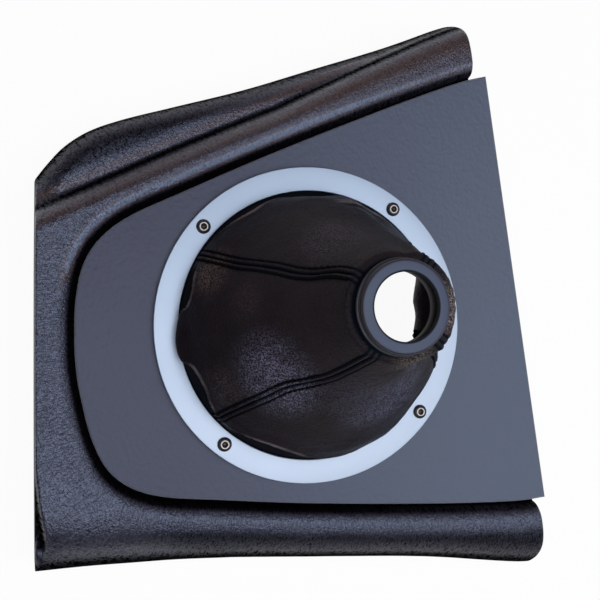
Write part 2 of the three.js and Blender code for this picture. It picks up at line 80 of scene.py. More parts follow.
# Console moulding
WALL = 2.5
EDGE_GAP = 1
LEDGE_WIDTH = 12
ARM_FRONT = PLATE_FRONT - 8
CREST_RISE = 7
CREST_REACH = 8
RIDGE_FALL = 13
WING_HEIGHT = PLATE_TOP - 5.5
WING_ROUND = 1.2
WING_LIP_REACH = 12
WING_LIP_FALL = 10
WING_EDGE_FALL = 5
LOWER_FALL = 12
LOWER_FULLNESS = 2.8
LOWER_INSET = 5.5
WALL_DRAFT = 1.2
ARM_END_ROUND = 1.6
VALLEY_REACH = ((0, 28.5), (101, 19.8))
FACE_FULLNESS = ((0, 4.3), (101, 2))
UPPER_ARM_WIDTHS = (
    (0, 32), (33.5, 30.8), (73.5, 32.4), (111.6, 34.7), (147.9, 39.7),
    (173, 43.4), (187, 44.1), (199, 41.7), (208, 36.9), (213.8, 32.9),
)
LOWER_ARM_WIDTHS = (
    (0, 36.5), (50.1, 32.3), (94.5, 31.7), (148, 33), (177, 35), (199, 37.4), (221, 40), (242.7, 43.2),
)
REAR_CUT = PLATE_REAR - 17.4
REAR_CUT_SLANT = 0.163
REAR_POCKET = REAR_CUT - 7.6
REAR_POCKET_SIDE = -75
REAR_POCKET_DEPTH = 15
REAR_POCKET_ROUND = 2.5

# Collar and sleeve
COLLAR_HEIGHT = 95
COLLAR_X = 9.9
COLLAR_Y = 6.8
COLLAR_TILT = math.radians(3)
COLLAR_HOLE = 13
COLLAR_FACE = 18
COLLAR_LIP = 18.7
COLLAR_THICKNESS = 5
COLLAR_SKIRT = 16.4
SLEEVE_INNER = 13.8
SLEEVE_OUTER = 14.8
SLEEVE_TOP = -1.5
SLEEVE_LENGTH = 7.8

# Leather boot: share of the way out from the top's radius to the ring, and share of the
# height of the wall: where it stands full, where it is drawn tight, and across its fold
LEATHER = 1
HEM_RADIUS = RING_OUTER - 0.6
HEM_INNER = RING_INNER - 0.3
NECK_RADIUS = 16.1
BOOT_TOP_RADIUS = 18
BOOT_TOP_HEIGHT = COLLAR_HEIGHT - 8.8
BOOT_WALL = (
    (0.984, 0.009), (0.962, 0.093), (0.9, 0.186), (0.782, 0.313), (0.613, 0.476), (0.458, 0.603),
    (0.338, 0.708), (0.236, 0.806), (0.16, 0.887), (0.109, 0.951), (0.071, 0.986), (0, 1),
)
BOOT_TIGHT = (
    (0.984, 0.009), (0.918, 0.093), (0.836, 0.186), (0.72, 0.313), (0.569, 0.476), (0.449, 0.603),
    (0.351, 0.708), (0.276, 0.806), (0.214, 0.887), (0.15, 0.951), (0.109, 0.988), (0, 1),
)
BOOT_FOLD = (
    (0.984, 0.009), (0.929, 0.093), (0.858, 0.186), (0.744, 0.313), (0.567, 0.476), (0.353, 0.603),
    (0.127, 0.708), (0.044, 0.771), (0.08, 0.847), (0.169, 0.934), (0.156, 0.984), (0, 1),
)
# Angle of each side's middle, and angles from it between which the wall changes over
TIGHT_SIDE = (4, 52, 66)
FOLD_SIDE = (-13, 14, 78)
# Angle of each seam at heights above the ring
SEAMS = (
    ((0, 139.8), (20, 140.5), (33, 141.5), (50, 141.5), (58, 142.3), (63, 141.8), (68, 140),
     (72, 137.5), (77.6, 135.5), (95, 135.5)),
    ((0, 213), (9.5, 212.6), (18.7, 212.3), (36, 213), (48, 215), (57, 221), (65, 225.5),
     (72.5, 228), (78, 229.5), (86, 231.5), (95, 233)),
    ((0, 332), (55, 328), (80, 317), (95, 314)),
    ((0, 389), (55, 391), (80, 402), (95, 405)),
)
# Angle, height of the fold's crest above the ring, and depth of the pocket below it
FOLDS = (
    (0, 7, 0), (40, 8, 0.3), (60, 9, 1.4), (75, 10, 2), (90, 11, 2.2), (98, 9.5, 2.2), (112, 12, 3.2),
    (120, 9.7, 2.8), (128, 6, 1), (137, 5, 0.3), (145, 7, 0.5), (149, 8, 2.4), (156, 10.7, 3.6),
    (162, 9.5, 3.2), (166, 4.5, 1), (172, 4, 0.9), (177, 4, 0.9), (184, 5, 0.8), (188, 10.5, 3.2),
    (197, 12.5, 4.6),
    (205, 10, 3.2), (211, 8, 0.8), (220, 8, 0.5), (226, 11, 2.6), (235, 15, 4.2), (243, 16, 4.4),
    (250, 14, 2.4), (262, 9, 0.8), (290, 7, 0.3), (360, 7, 0),
)

# Leather that bulges over the ring's inner edge, and leather that is drawn in from it:
# angle, spread and height of the middle, spread of heights, and reach
BULGE = (178, 13, 5, 4.5, 3.2)
DRAWN_IN = (84, 15, 7, 9, -2.4)


def lerp(a, b, share):
    return a + (b - a) * share


def smoothstep(value, low, high):
    t = np.clip((value - low) / (high - low), 0, 1)
    return t * t * (3 - 2 * t)


def read_table(rows, place):
    """Straight-line reading of (place, value) rows, running on past the ends."""
    places, values = np.array(rows, float).T
    k = np.clip(np.searchsorted(places, place), 1, len(rows) - 1)
    share = (place - places[k - 1]) / (places[k] - places[k - 1])
    return lerp(values[k - 1], values[k], share)


def read_curve(rows, place):
    """Smooth reading of (place, value) rows, straight past the ends."""
    places, values = np.array(rows, float).T
    place = np.asarray(place, float)
    k = np.clip(np.searchsorted(places, place), 1, len(rows) - 1)
    every = np.arange(len(rows))
    low = np.maximum(every - 1, 0)
    high = np.minimum(every + 1, len(rows) - 1)
    slopes = (values[high] - values[low]) / (places[high] - places[low])
    span = places[k] - places[k - 1]
    t = (place - places[k - 1]) / span
    curve = (
        lerp(values[k - 1], values[k], t * t * (3 - 2 * t))
        + t * (1 - t) ** 2 * span * slopes[k - 1]
        + t * t * (t - 1) * span * slopes[k]
    )
    return np.where((t < 0) | (t > 1), read_table(rows, place), curve)


# Meshes

def in_scene(name, data):
    made = bpy.data.objects.new(name, data)
    bpy.context.scene.collection.objects.link(made)
    return made


def new_piece(name, bm, material, nodes=(), smooth=True):
    """A finished bmesh as a piece that rides on the one body and stands for its CAD nodes."""
    mesh = bpy.data.meshes.new(name)
    bm.to_mesh(mesh)
    bm.free()
    for m in material if isinstance(material, tuple) else (material,):
        mesh.materials.append(m)
    if smooth:
        mesh.shade_smooth()
    else:
        mesh.shade_flat()
    piece = in_scene(name, mesh)
    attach(piece, "root")
    if nodes:
        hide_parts(*nodes)
    return piece


def lattice(points, uv, shade, closed=False):
    """A bmesh grid whose vertices are put on an array of points, row by row, in millimetres.

    Each point keeps its shade: below 0 painted shade, where the material fades to a dull dark shader, and
    above 0 painted highlights and sheen, with a painted brown reflection on the moulding.
    """
    rows, columns = points.shape[:2]
    bm = bmesh.new()
    layer = bm.loops.layers.uv.new("UVMap")
    mark = bm.verts.layers.float.new("shade")
    bmesh.ops.create_grid(bm, x_segments=columns - 1, y_segments=rows - 1, size=1)
    bm.verts.ensure_lookup_table()
    flat = (points.reshape(-1, 3) + np.array((RING_MIDDLE.x, RING_MIDDLE.y, 0))) * MM
    for vert, point, value in zip(bm.verts, flat, shade.ravel()):
        vert.co = point
        vert[mark] = value
    flat_uv = uv.reshape(-1, 2)
    for face in bm.faces:
        for loop in face.loops:
            loop[layer].uv = flat_uv[loop.vert.index]
    if closed:
        bmesh.ops.remove_doubles(bm, verts=bm.verts, dist=0.01 * MM)
    return bm


def full_spin(bm, geometry, steps):
    bmesh.ops.spin(
        bm, geom=geometry, cent=(0, 0, 0), axis=(0, 0, 1),
        angle=2 * math.pi, steps=steps, use_merge=True,
    )


def revolve(profile, steps, place=None):
    """A full spin of a closed profile of (radius, height) points, in millimetres."""
    bm = bmesh.new()
    verts = [bm.verts.new((r * MM, 0, z * MM)) for r, z in profile]
    edges = [bm.edges.new((a, b)) for a, b in zip(verts, verts[1:] + verts[:1])]
    full_spin(bm, verts + edges, steps)
    bmesh.ops.remove_doubles(bm, verts=bm.verts, dist=0.005 * MM)
    bmesh.ops.recalc_face_normals(bm, faces=bm.faces)
    bmesh.ops.transform(bm, matrix=place or at_ring(0, 0, 0), verts=bm.verts)
    return bm


def at_ring(x, y, z, turn=0):
    """Place that is measured from the middle of the ring, with heights from the rims."""
    spot = Vector((RING_MIDDLE.x + x, RING_MIDDLE.y + y, z)) * MM
    return Matrix.Translation(spot) @ Matrix.Rotation(turn, 4, "Z")


def grid_normals(points):
    """Unit normals of a grid of points."""
    along = np.gradient(points, axis=1)
    across = np.gradient(points, axis=0)
    normals = np.cross(along, across)
    return normals / np.maximum(np.linalg.norm(normals, axis=2, keepdims=True), 1e-9)


def rough(points, scale, octaves=3, seed=0):
    """Smooth random field over a grid of points."""
    flat = points.reshape(-1, 3) * scale + seed
    values = [noise.fractal(Vector(p), 1.0, 2.0, octaves) for p in flat]
    return np.array(values).reshape(points.shape[:2])


# Plate outline

def skewed(x, y):
    along = (x - PLATE_REAR) / (PLATE_FRONT - PLATE_REAR)
    slant = lerp(PLATE_REAR_SLANT, PLATE_FRONT_SLANT, along)
    return np.stack([x + slant * y, y + PLATE_LEAN * (x - PLATE_LEAN_PIVOT)], axis=-1)


def plate_points():
    half = [(PLATE_FRONT - d, w) for d, w in PLATE_HALF_WIDTHS]
    half += [(PLATE_REAR + d, w) for d, w in PLATE_REAR_CORNER]
    every = np.array(half + [(PLATE_REAR, 0)] + [(x, -y) for x, y in reversed(half)], float)
    return skewed(every[:, 0], every[:, 1])


PLATE_POINTS = plate_points()


def plate_curve(t):
    """Smooth curve through the plate's points, from its front edge round the rear and back."""
    last = len(PLATE_POINTS) - 1
    place = np.clip(np.asarray(t, float), 0, 1) * last
    k = np.clip(np.floor(place).astype(int), 0, last - 1)
    w = (place - k)[..., None]
    before, start = PLATE_POINTS[np.maximum(k - 1, 0)], PLATE_POINTS[k]
    end, after = PLATE_POINTS[k + 1], PLATE_POINTS[np.minimum(k + 2, last)]
    v0, v1 = (end - before) / 2, (after - start) / 2
    cubic = (2 * start - 2 * end + v0 + v1) * w**3
    square = (3 * end - 3 * start - 2 * v0 - v1) * w**2
    return cubic + square + v0 * w + start


def half_width(x):
    return read_curve(PLATE_HALF_WIDTHS, PLATE_FRONT - x)


# Console moulding

def outer_y(x, side):
    widths = UPPER_ARM_WIDTHS if side > 0 else LOWER_ARM_WIDTHS
    return side * (half_width(x) + read_curve(widths, ARM_FRONT - x))


def rear_cut(y):
    return REAR_CUT + REAR_CUT_SLANT * y


def corner_on_cut(side):
    x = REAR_CUT
    for _ in range(40):
        x = rear_cut(outer_y(x, side))
    return np.array((x, outer_y(x, side)), float)


def outer_row(side, step=2.0):
    corner = corner_on_cut(side)
    xs = np.arange(ARM_FRONT, corner[0], -step)
    return np.vstack([np.stack([xs, outer_y(xs, side)], axis=1), corner])


UPPER_ROW = outer_row(1)
LOWER_ROW = outer_row(-1)
OUTLINE = np.vstack([UPPER_ROW, LOWER_ROW[::-1]])


def reach_outline(start, way):
    """How far a line from a point inside the outline runs before it leaves it."""
    a, e = OUTLINE[:-1], np.diff(OUTLINE, axis=0)
    cross = way[0] * e[:, 1] - way[1] * e[:, 0]
    cross[np.abs(cross) < 1e-12] = 1e-12
    gap = a - start
    t = (gap[:, 0] * e[:, 1] - gap[:, 1] * e[:, 0]) / cross
    u = (gap[:, 0] * way[1] - gap[:, 1] * way[0]) / cross
    hits = t[(t > 0) & (u >= -1e-6) & (u <= 1 + 1e-6)]
    return hits.min()


def distance_to_row(x, y, row):
    best = np.full(x.shape, 1e9)
    for a, b in zip(row[:-1], row[1:]):
        e = b - a
        t = np.clip(((x - a[0]) * e[0] + (y - a[1]) * e[1]) / (e @ e), 0, 1)
        best = np.minimum(best, np.hypot(x - a[0] - t * e[0], y - a[1] - t * e[1]))
    return best


def smooth_max(a, b, blend):
    h = np.clip(0.5 + 0.5 * (a - b) / blend, 0, 1)
    return lerp(b, a, h) + blend * h * (1 - h)


def shell_height(x, y, inset):
    """Height of the moulding's top: a round ridge beside the plate, which falls outwards."""
    behind = ARM_FRONT - x
    shaped_for = np.minimum(behind, VALLEY_REACH[1][0])
    beside = np.maximum(y - half_width(x) - CREST_REACH, 0)
    fall = beside / (read_table(VALLEY_REACH, shaped_for) - CREST_REACH)
    crest = PLATE_TOP + CREST_RISE
    ridge = crest - RIDGE_FALL * fall ** read_table(FACE_FULLNESS, shaped_for)
    t = np.clip(1 - distance_to_row(x, y, UPPER_ROW) / WING_LIP_REACH, 0, 1)
    wing = WING_HEIGHT - WING_LIP_FALL * t**2 - WING_EDGE_FALL * t**6
    upper = smooth_max(ridge, wing, WING_ROUND)
    beside = np.maximum(-y - half_width(x) - CREST_REACH, 0)
    width = read_curve(LOWER_ARM_WIDTHS, behind)
    lower = crest - LOWER_FALL * (beside / (width - LOWER_INSET - CREST_REACH)) ** LOWER_FULLNESS
    in_pocket = np.minimum(REAR_POCKET - x, y - REAR_POCKET_SIDE)
    drop = smoothstep(in_pocket, -REAR_POCKET_ROUND / 2, REAR_POCKET_ROUND)
    near = np.clip(1 - inset / CREST_REACH, 0, 1)
    inner = CREST_RISE * (1 - np.sqrt(1 - near**2))
    end = np.clip(1 - behind / ARM_END_ROUND, 0, 1)
    end_round = ARM_END_ROUND * (1 - np.sqrt(1 - end**2))
    return np.where(y > 0, upper, lower) - inner - REAR_POCKET_DEPTH * drop - end_round


STATIONS = 430
SHELL_ROWS = 66
ROW_CROWDING = 1.25
SIDE_ROWS = 14
UNEVENNESS = 0.12
# The moulding's shade up to which its grain takes a painted brown reflection, and at which its painted
# sheen is full
BROWN_REFLECTION = 0.7
SHEEN = 1.4


def shell_stations():
    """Start, direction and length of each line across the moulding, from the plate outwards."""
    fine = np.linspace(0, 1, 6001)
    curve = plate_curve(fine)
    on_arms = curve[:, 0] < ARM_FRONT
    curve = curve[on_arms]
    run = np.concatenate([[0], np.cumsum(np.hypot(*np.diff(curve, axis=0).T))])
    near_end = np.array((0, 0.08, 0.3, 0.7, 1.2))
    between = np.linspace(2, run[-1] - 2, STATIONS - 2 * len(near_end))
    places = np.concatenate([near_end, between, run[-1] - near_end[::-1]])
    points = np.stack([np.interp(places, run, curve[:, k]) for k in (0, 1)], axis=1)
    points[0, 0] = points[-1, 0] = ARM_FRONT
    tangents = np.gradient(points, places, axis=0)
    starts, ways, lengths = [], [], []
    for point, tangent in zip(points, tangents):
        normal = np.array((-tangent[1], tangent[0])) / np.hypot(*tangent)
        if normal @ point < 0:
            normal = -normal
        square = np.array((0, math.copysign(1, point[1])))
        way = lerp(square, normal, smoothstep(ARM_FRONT - point[0], 0, ARM_FRONT))
        way /= np.hypot(*way)
        start = point + way * EDGE_GAP
        starts.append(start)
        ways.append(way)
        lengths.append(reach_outline(start, way))
    starts, ways, lengths = np.array(starts), np.array(ways), np.array(lengths)
    for side in (1, -1):
        corner = corner_on_cut(side)
        outer = starts + ways * lengths[:, None]
        k = np.argmin(np.hypot(*(outer - corner).T))
        gap = corner - starts[k]
        lengths[k] = np.hypot(*gap)
        ways[k] = gap / lengths[k]
    return starts, ways, lengths, places


def console_moulding(material):
    starts, ways, lengths, places = shell_stations()
    shares = np.linspace(0, 1, SHELL_ROWS) ** ROW_CROWDING
    d = lengths[:, None] * shares
    xy = starts[:, None] + ways[:, None] * d[..., None]
    z = shell_height(xy[..., 0], xy[..., 1], d)
    top = np.concatenate([xy, z[..., None]], axis=2)
    detail = UNEVENNESS * rough(top, 0.16, 3, 7.0)
    top[..., 2] += detail * smoothstep(d, 0, 4)
    drop = np.linspace(0, 1, SIDE_ROWS + 1)[1:]
    side_d = lengths[:, None] + WALL_DRAFT * drop
    side_xy = starts[:, None] + ways[:, None] * side_d[..., None]
    side_z = z[:, -1:] * (1 - drop)
    side = np.concatenate([side_xy, side_z[..., None]], axis=2)
    ledge = [
        np.column_stack([starts + ways * back, np.full(len(starts), PLATE_BOTTOM)])
        for back in (-LEDGE_WIDTH - EDGE_GAP, -0.01)
    ]
    points = np.concatenate([np.stack(ledge, axis=1), top, side], axis=1)
    edge = 2 + SHELL_ROWS
    for _ in range(3):
        softened = (points[:, edge - 5:edge + 3] + points[:, edge - 3:edge + 5]) / 4
        points[:, edge - 4:edge + 4] = points[:, edge - 4:edge + 4] / 2 + softened
    side_run = lengths[:, None] + z[:, -1:] * drop
    run = np.concatenate([np.zeros((len(d), 2)), d, side_run], axis=1)
    uv = np.stack([np.broadcast_to(places[:, None], run.shape), run], axis=2) * MM
    # Painted shade: full on the ledge under the plate, and on the side walls from full at the top edge to
    # lighter further down
    side_shade = lerp(-1, -0.35, smoothstep(z[:, -1:] * drop, 1, 12))
    shade = np.concatenate([np.full((len(d), 2), -1.0), console_shade(top, d), side_shade], axis=1)
    bm = lattice(points, uv, shade)
    close_arm_ends(bm, points)
    bmesh.ops.recalc_face_normals(bm, faces=bm.faces)
    piece = new_piece("console_moulding", bm, material, ("console_shell",))
    thick = piece.modifiers.new("wall", "SOLIDIFY")
    thick.thickness = WALL * MM
    thick.offset = -1
    return piece


def console_shade(top, inset):
    """Painted shade beside the plate, in the upper arm's valley, over its wing and the outer lips, below
    the lower arm's crest and in the rear pocket.

    Up to the brown share the grain takes a painted brown reflection, as on the upper arm's face, and a
    painted light band lies beside the valley. Above it comes the crest's painted sheen.
    """
    x, y = top[..., 0], top[..., 1]
    behind = ARM_FRONT - x
    upper = smoothstep(y, 10, 40)
    # Painted shade in the groove beside the plate, in the valley, over the wing and lips, below the lower
    # arm's crest and in the rear pocket
    along_plate = lerp(0.8, 1, smoothstep(behind, 20, 130))
    beside_plate = (1 - smoothstep(inset, 1.4, 3.8 - 0.6 * upper)) * along_plate
    reach = read_table(VALLEY_REACH, np.minimum(behind, VALLEY_REACH[1][0]))
    from_valley = y - half_width(x) - reach
    up_face = (y - half_width(x) - CREST_REACH) / (reach - CREST_REACH)
    valley = bump_at(from_valley, -1.6, 1.9) * upper
    to_upper = distance_to_row(x, y, UPPER_ROW)
    to_lower = distance_to_row(x, y, LOWER_ROW)
    wing = 0.68 * smoothstep(from_valley, 5.5, 10) * upper * (1 - 0.4 * bump_at(to_upper, 6, 3))
    lips = np.maximum(1 - smoothstep(to_upper, 0.5, 7), 1 - smoothstep(to_lower, 3, 12))
    below = 0.55 * smoothstep(inset, 9, 15) * smoothstep(-y, 10, 40) * smoothstep(x, -105, -65)
    pocket = smoothstep(np.minimum(REAR_POCKET - x, y - REAR_POCKET_SIDE), -1.5, 0.5)
    dark = np.maximum.reduce([beside_plate, valley, wing, lips, below, pocket])
    # Painted light: a brown reflection on the upper arm's face, a band beside the valley and a sheen on the
    # crest
    face = lerp(0.58, 0.48, smoothstep(behind, 60, 160)) * bump_at(up_face, 0.4, 0.42) * upper
    band = 0.8 * bump_at(from_valley, 2.8, 2.0) * upper
    crest = lerp(1.15, 1.8, smoothstep(behind, 20, 90)) * bump_at(inset, 5.0, 1.9)
    crest = crest * smoothstep(y, 30, 50)
    light = np.maximum.reduce([face, band, crest])
    return np.where(dark > 0.5 * light, -dark, light)


def close_arm_ends(bm, points):
    """A flat wall across the front end of each arm, from the plate's edge to the rim."""
    bm.verts.ensure_lookup_table()
    rows, columns = points.shape[:2]
    lines = [[bm.verts[row * columns + k] for k in range(columns)] for row in (0, rows - 1)]
    for line in lines:
        foot = bm.verts.new((line[0].co.x, line[0].co.y, 0))
        face = bm.faces.new(line + [foot])
        bmesh.ops.triangulate(bm, faces=[face], ngon_method="EAR_CLIP")


# Trim plate

def plate_loop(bm, points, height):
    """A closed loop of edges through points, in millimetres from the middle of the ring."""
    ring = bmesh.ops.create_circle(bm, segments=len(points), radius=1)["verts"]
    for vert, (x, y) in zip(ring, points):
        vert.co = (x * MM, y * MM, height * MM)
    return list({edge for vert in ring for edge in vert.link_edges})


def trim_plate(material):
    """Plate with a chamfer round its face: outline, edge of the face and hole lie on the same rays."""
    count, front = 640, 160
    along = plate_curve(np.linspace(0, 1, count - front))
    closing = lerp(along[-1], along[0], np.linspace(0, 1, front + 2)[1:-1, None])
    outline = np.vstack([along, closing])
    radius = np.hypot(*outline.T)[:, None]
    rays = outline / radius
    tangents = np.roll(outline, -1, axis=0) - np.roll(outline, 1, axis=0)
    sines = np.abs(np.cross(rays, tangents)) / np.hypot(*tangents.T)
    face_edge = rays * (radius - PLATE_BEVEL / np.maximum(sines, 0.4)[:, None])
    bm = bmesh.new()
    outer = plate_loop(bm, outline, PLATE_TOP - PLATE_BEVEL)
    middle = plate_loop(bm, face_edge, PLATE_TOP)
    inner = plate_loop(bm, rays * PLATE_HOLE, PLATE_TOP)
    chamfer = bmesh.ops.bridge_loops(bm, edges=outer + middle)["faces"]
    bmesh.ops.bridge_loops(bm, edges=middle + inner)
    # The chamfer, but for the front edge, takes the lighter edge material: a painted highlight
    for face in chamfer:
        face.material_index = 1 if face.calc_center_median().x < (PLATE_FRONT - 3) * MM else 0
    wall = bmesh.ops.extrude_edge_only(bm, edges=outer + inner)["geom"]
    for vert in wall:
        if isinstance(vert, bmesh.types.BMVert):
            vert.co.z = PLATE_BOTTOM * MM
    feet = [e for e in wall if isinstance(e, bmesh.types.BMEdge) and e.is_boundary]
    bmesh.ops.bridge_loops(bm, edges=feet)
    bmesh.ops.recalc_face_normals(bm, faces=bm.faces)
    bmesh.ops.transform(bm, matrix=at_ring(0, 0, 0), verts=bm.verts)
    return new_piece("satin_trim_plate", bm, material, ("trim_plate",), smooth=False)


# Ring and screws

def rounded_ring(material):
    e = RING_EDGE
    corner = [(math.sin(a) * e, math.cos(a) * e) for a in np.linspace(0, math.pi / 2, 5)]
    profile = [(RING_INNER, RING_BOTTOM), (RING_OUTER, RING_BOTTOM)]
    profile += [(RING_OUTER - e + s, RING_TOP - e + c) for s, c in reversed(corner)]
    profile += [(RING_INNER + e - s, RING_TOP - e + c) for s, c in corner]
    return new_piece("clamp_ring", revolve(profile, 256), material, ("boot_ring",))


SCREW_SHANK = ((0.02, -8.5), (1.5, -8.5), (1.5, 0))
SCREW_DOME = (
    (3.3, 0), (3.34, 0.3), (3.24, 0.7), (2.95, 1.1), (2.55, 1.42), (2.12, 1.62),
    (1.98, 1.68), (1.78, 1.72), (1.5, 1.7),
)
LAND_RADIUS = 1.98
SOCKET_ACROSS = 2.5
SOCKET_DEPTH = 1.05


def ring_screw(number, angle, turn, materials):
    """Button-head screw: a dark dome, a lighter land round the socket that carries a painted highlight, and
    the socket in painted shade.
    """
    bm = bmesh.new()
    profile = [bm.verts.new((r * MM, 0, z * MM)) for r, z in SCREW_SHANK + SCREW_DOME]
    edges = [bm.edges.new(pair) for pair in zip(profile[:-1], profile[1:])]
    full_spin(bm, profile + edges, 48)
    bmesh.ops.remove_doubles(bm, verts=bm.verts, dist=0.03 * MM)
    top = SCREW_DOME[-1][1] * MM
    land = [e for e in bm.edges if e.is_boundary and min(v.co.z for v in e.verts) > top - 1e-7]
    hexagon = bmesh.ops.create_circle(bm, segments=48, radius=SOCKET_ACROSS / 2 * MM)["verts"]
    for vert in hexagon:
        a = math.atan2(vert.co.y, vert.co.x)
        flat = math.pi / 3
        reach = SOCKET_ACROSS / 2 / math.cos((a % flat) - flat / 2)
        vert.co = (reach * math.cos(a) * MM, reach * math.sin(a) * MM, top - 0.12 * MM)
    inner = [e for e in bm.edges if e.is_boundary and e.verts[0] in hexagon and e.verts[1] in hexagon]
    inner += [e for e in bm.edges if e.is_wire and e.verts[0] in hexagon]
    inner = list(set(inner))
    bmesh.ops.bridge_loops(bm, edges=land + inner)
    walls = bmesh.ops.extrude_edge_only(bm, edges=inner)["geom"]
    sunk = [v for v in walls if isinstance(v, bmesh.types.BMVert)]
    bmesh.ops.translate(bm, vec=(0, 0, -SOCKET_DEPTH * MM), verts=sunk)
    rim = [e for e in walls if isinstance(e, bmesh.types.BMEdge) and e.is_boundary]
    bmesh.ops.edgenet_fill(bm, edges=rim)
    bmesh.ops.recalc_face_normals(bm, faces=bm.faces)
    for face in bm.faces:
        middle = face.calc_center_median()
        out = math.hypot(middle.x, middle.y) / MM
        on_land = SOCKET_ACROSS / 2 < out < LAND_RADIUS and middle.z > top - 0.2 * MM
        face.material_index = 1 if on_land else 0
        if out < SOCKET_ACROSS / 2 * 1.1 and middle.z < top - 0.3 * MM:
            face.material_index = 2
    a = math.radians(angle)
    place = at_ring(SCREW_CIRCLE * math.cos(a), SCREW_CIRCLE * math.sin(a), RING_TOP, math.radians(turn))
    bmesh.ops.transform(bm, matrix=place, verts=bm.verts)
    new_piece(f"button_screw_{number}", bm, materials, (f"ring_screw_{number}",))


# Collar and sleeve

COLLAR_PLACE = at_ring(COLLAR_X, COLLAR_Y, RING_TOP + COLLAR_HEIGHT) @ Matrix.Rotation(COLLAR_TILT, 4, "Y")


def collar(material):
    low, lip = -COLLAR_THICKNESS, -COLLAR_THICKNESS + 1
    profile = (
        (COLLAR_HOLE, -1.2), (COLLAR_HOLE, -0.55), (COLLAR_HOLE + 0.12, -0.2),
        (COLLAR_HOLE + 0.45, -0.03), (COLLAR_HOLE + 0.8, 0), (COLLAR_FACE - 1.3, 0),
        (COLLAR_FACE - 0.7, -0.07), (COLLAR_FACE - 0.25, -0.3), (COLLAR_FACE - 0.04, -0.7),
        (COLLAR_FACE, -1.2), (COLLAR_FACE - 0.25, -2.9), (COLLAR_FACE - 0.1, lip - 0.02),
        (COLLAR_LIP - 0.35, lip + 0.06), (COLLAR_LIP - 0.08, lip - 0.1), (COLLAR_LIP, lip - 0.4),
        (COLLAR_LIP - 0.05, low + 0.25), (COLLAR_LIP - 0.3, low), (COLLAR_SKIRT, low),
        (COLLAR_SKIRT, -1.2),
    )
    bm = revolve(profile, 192, COLLAR_PLACE)
    return new_piece("lever_collar", bm, material, ("boot_collar",))


def sleeve(material):
    low = SLEEVE_TOP - SLEEVE_LENGTH
    profile = (
        (SLEEVE_INNER, SLEEVE_TOP), (SLEEVE_INNER, low + 0.3), (SLEEVE_INNER + 0.3, low),
        (SLEEVE_OUTER - 0.3, low), (SLEEVE_OUTER, low + 0.3), (SLEEVE_OUTER, SLEEVE_TOP),
    )
    bm = revolve(profile, 128, COLLAR_PLACE)
    return new_piece("neck_sleeve", bm, material, ("collar_sleeve",))


# Leather boot

SEAM_OFFSETS = np.array((0, 0.22, 0.45, 0.75, 1.05, 1.35, 1.65, 1.9, 2.15, 2.4, 2.65, 2.9, 3.15, 3.5, 4))
PANEL_COLUMNS = 58
WALL_ROWS = 104
FINE_SHARES = np.linspace(0, 1, 400)
NECK_DEPTHS = (7.4, 6.6, 5.5, 3.8, 2.2)
PLEATS = 34
STITCH_OFFSET = 2.4
STITCH_PITCH = 3
STITCH_HALF = 1.2
STITCHED_HEIGHTS = (2, 84)


def boot_centre(height):
    sway = smoothstep(height, 0, COLLAR_HEIGHT)
    return COLLAR_X * sway, COLLAR_Y * sway, COLLAR_TILT * sway


def boot_place(radius, height, angle):
    """Point of the boot at a radius, a height above the ring and an angle."""
    x, y, tilt = boot_centre(height)
    across, away = radius * np.cos(angle), radius * np.sin(angle)
    up = RING_TOP + height - across * np.sin(tilt)
    return np.stack([x + across * np.cos(tilt), y + away, up], axis=-1)


def side_share(angle, side):
    """How far the wall has the shape of a side: 1 at the side's middle, 0 away from it."""
    turn = np.abs((np.degrees(angle) - side[0] + 180) % 360 - 180)
    return 1 - smoothstep(turn, side[1], side[2])


def wall_profile(share, angle):
    """Radius and height of the boot's wall at a share of the way up its rows."""
    tight, fold = side_share(angle, TIGHT_SIDE), side_share(angle, FOLD_SIDE)
    place = share * (len(BOOT_WALL) - 1)
    shares = []
    for n in (0, 1):
        full, drawn, folded = (
            read_curve([(k, row[n]) for k, row in enumerate(rows)], place)
            for rows in (BOOT_WALL, BOOT_TIGHT, BOOT_FOLD)
        )
        shares.append(lerp(lerp(full, drawn, tight), folded, fold))
    return lerp(BOOT_TOP_RADIUS, RING_INNER, shares[0]), BOOT_TOP_HEIGHT * shares[1]


def seam_angle(index, height):
    return np.radians(read_curve(SEAMS[index], height))


def boot_columns(height, radius):
    """Angles round the boot at one height: columns crowd beside each seam."""
    angles, offsets = [], []
    for k in range(4):
        start = seam_angle(k, height)
        end = seam_angle((k + 1) % 4, height) + (2 * math.pi if k == 3 else 0)
        near = SEAM_OFFSETS / radius
        middle = np.linspace(start + near[-1], end - near[-1], PANEL_COLUMNS + 2)[1:-1]
        angles.append(np.concatenate([start + near, middle, end - near[:0:-1]]))
        far = np.full(PANEL_COLUMNS, 9.0)
        offsets.append(np.concatenate([SEAM_OFFSETS, far, SEAM_OFFSETS[:0:-1]]))
    angles.append(angles[0][:1] + 2 * math.pi)
    offsets.append(offsets[0][:1])
    return np.concatenate(angles), np.concatenate(offsets)


def bump_at(value, middle, width):
    return np.exp(-(((value - middle) / width) ** 2))


def fold_at(degrees):
    """Height of the fold's crest above the ring, and depth of the pocket below it."""
    folds = np.array(FOLDS, float)
    return read_curve(folds[:, :2], degrees), read_curve(folds[:, ::2], degrees)


def fold_shape(angle, height):
    """Radial change near the ring: a sharp crest, with a pocket drawn in below it."""
    degrees = np.degrees(angle) % 360
    crest, depth = fold_at(degrees)
    depth = np.maximum(depth, 0)
    x = height / crest
    under = smoothstep(x, -0.1, 0.45) * (1 - smoothstep(x, 0.8, 1))
    ridge = bump_at(height, crest + 0.4, 1.1) * np.minimum(depth, 1.5) * 0.35
    moved = 0
    for angle_at, spread, middle, rise, reach in (BULGE, DRAWN_IN):
        moved = moved + reach * bump_at(degrees, angle_at, spread) * bump_at(height, middle, rise)
    return ridge + moved - depth * under


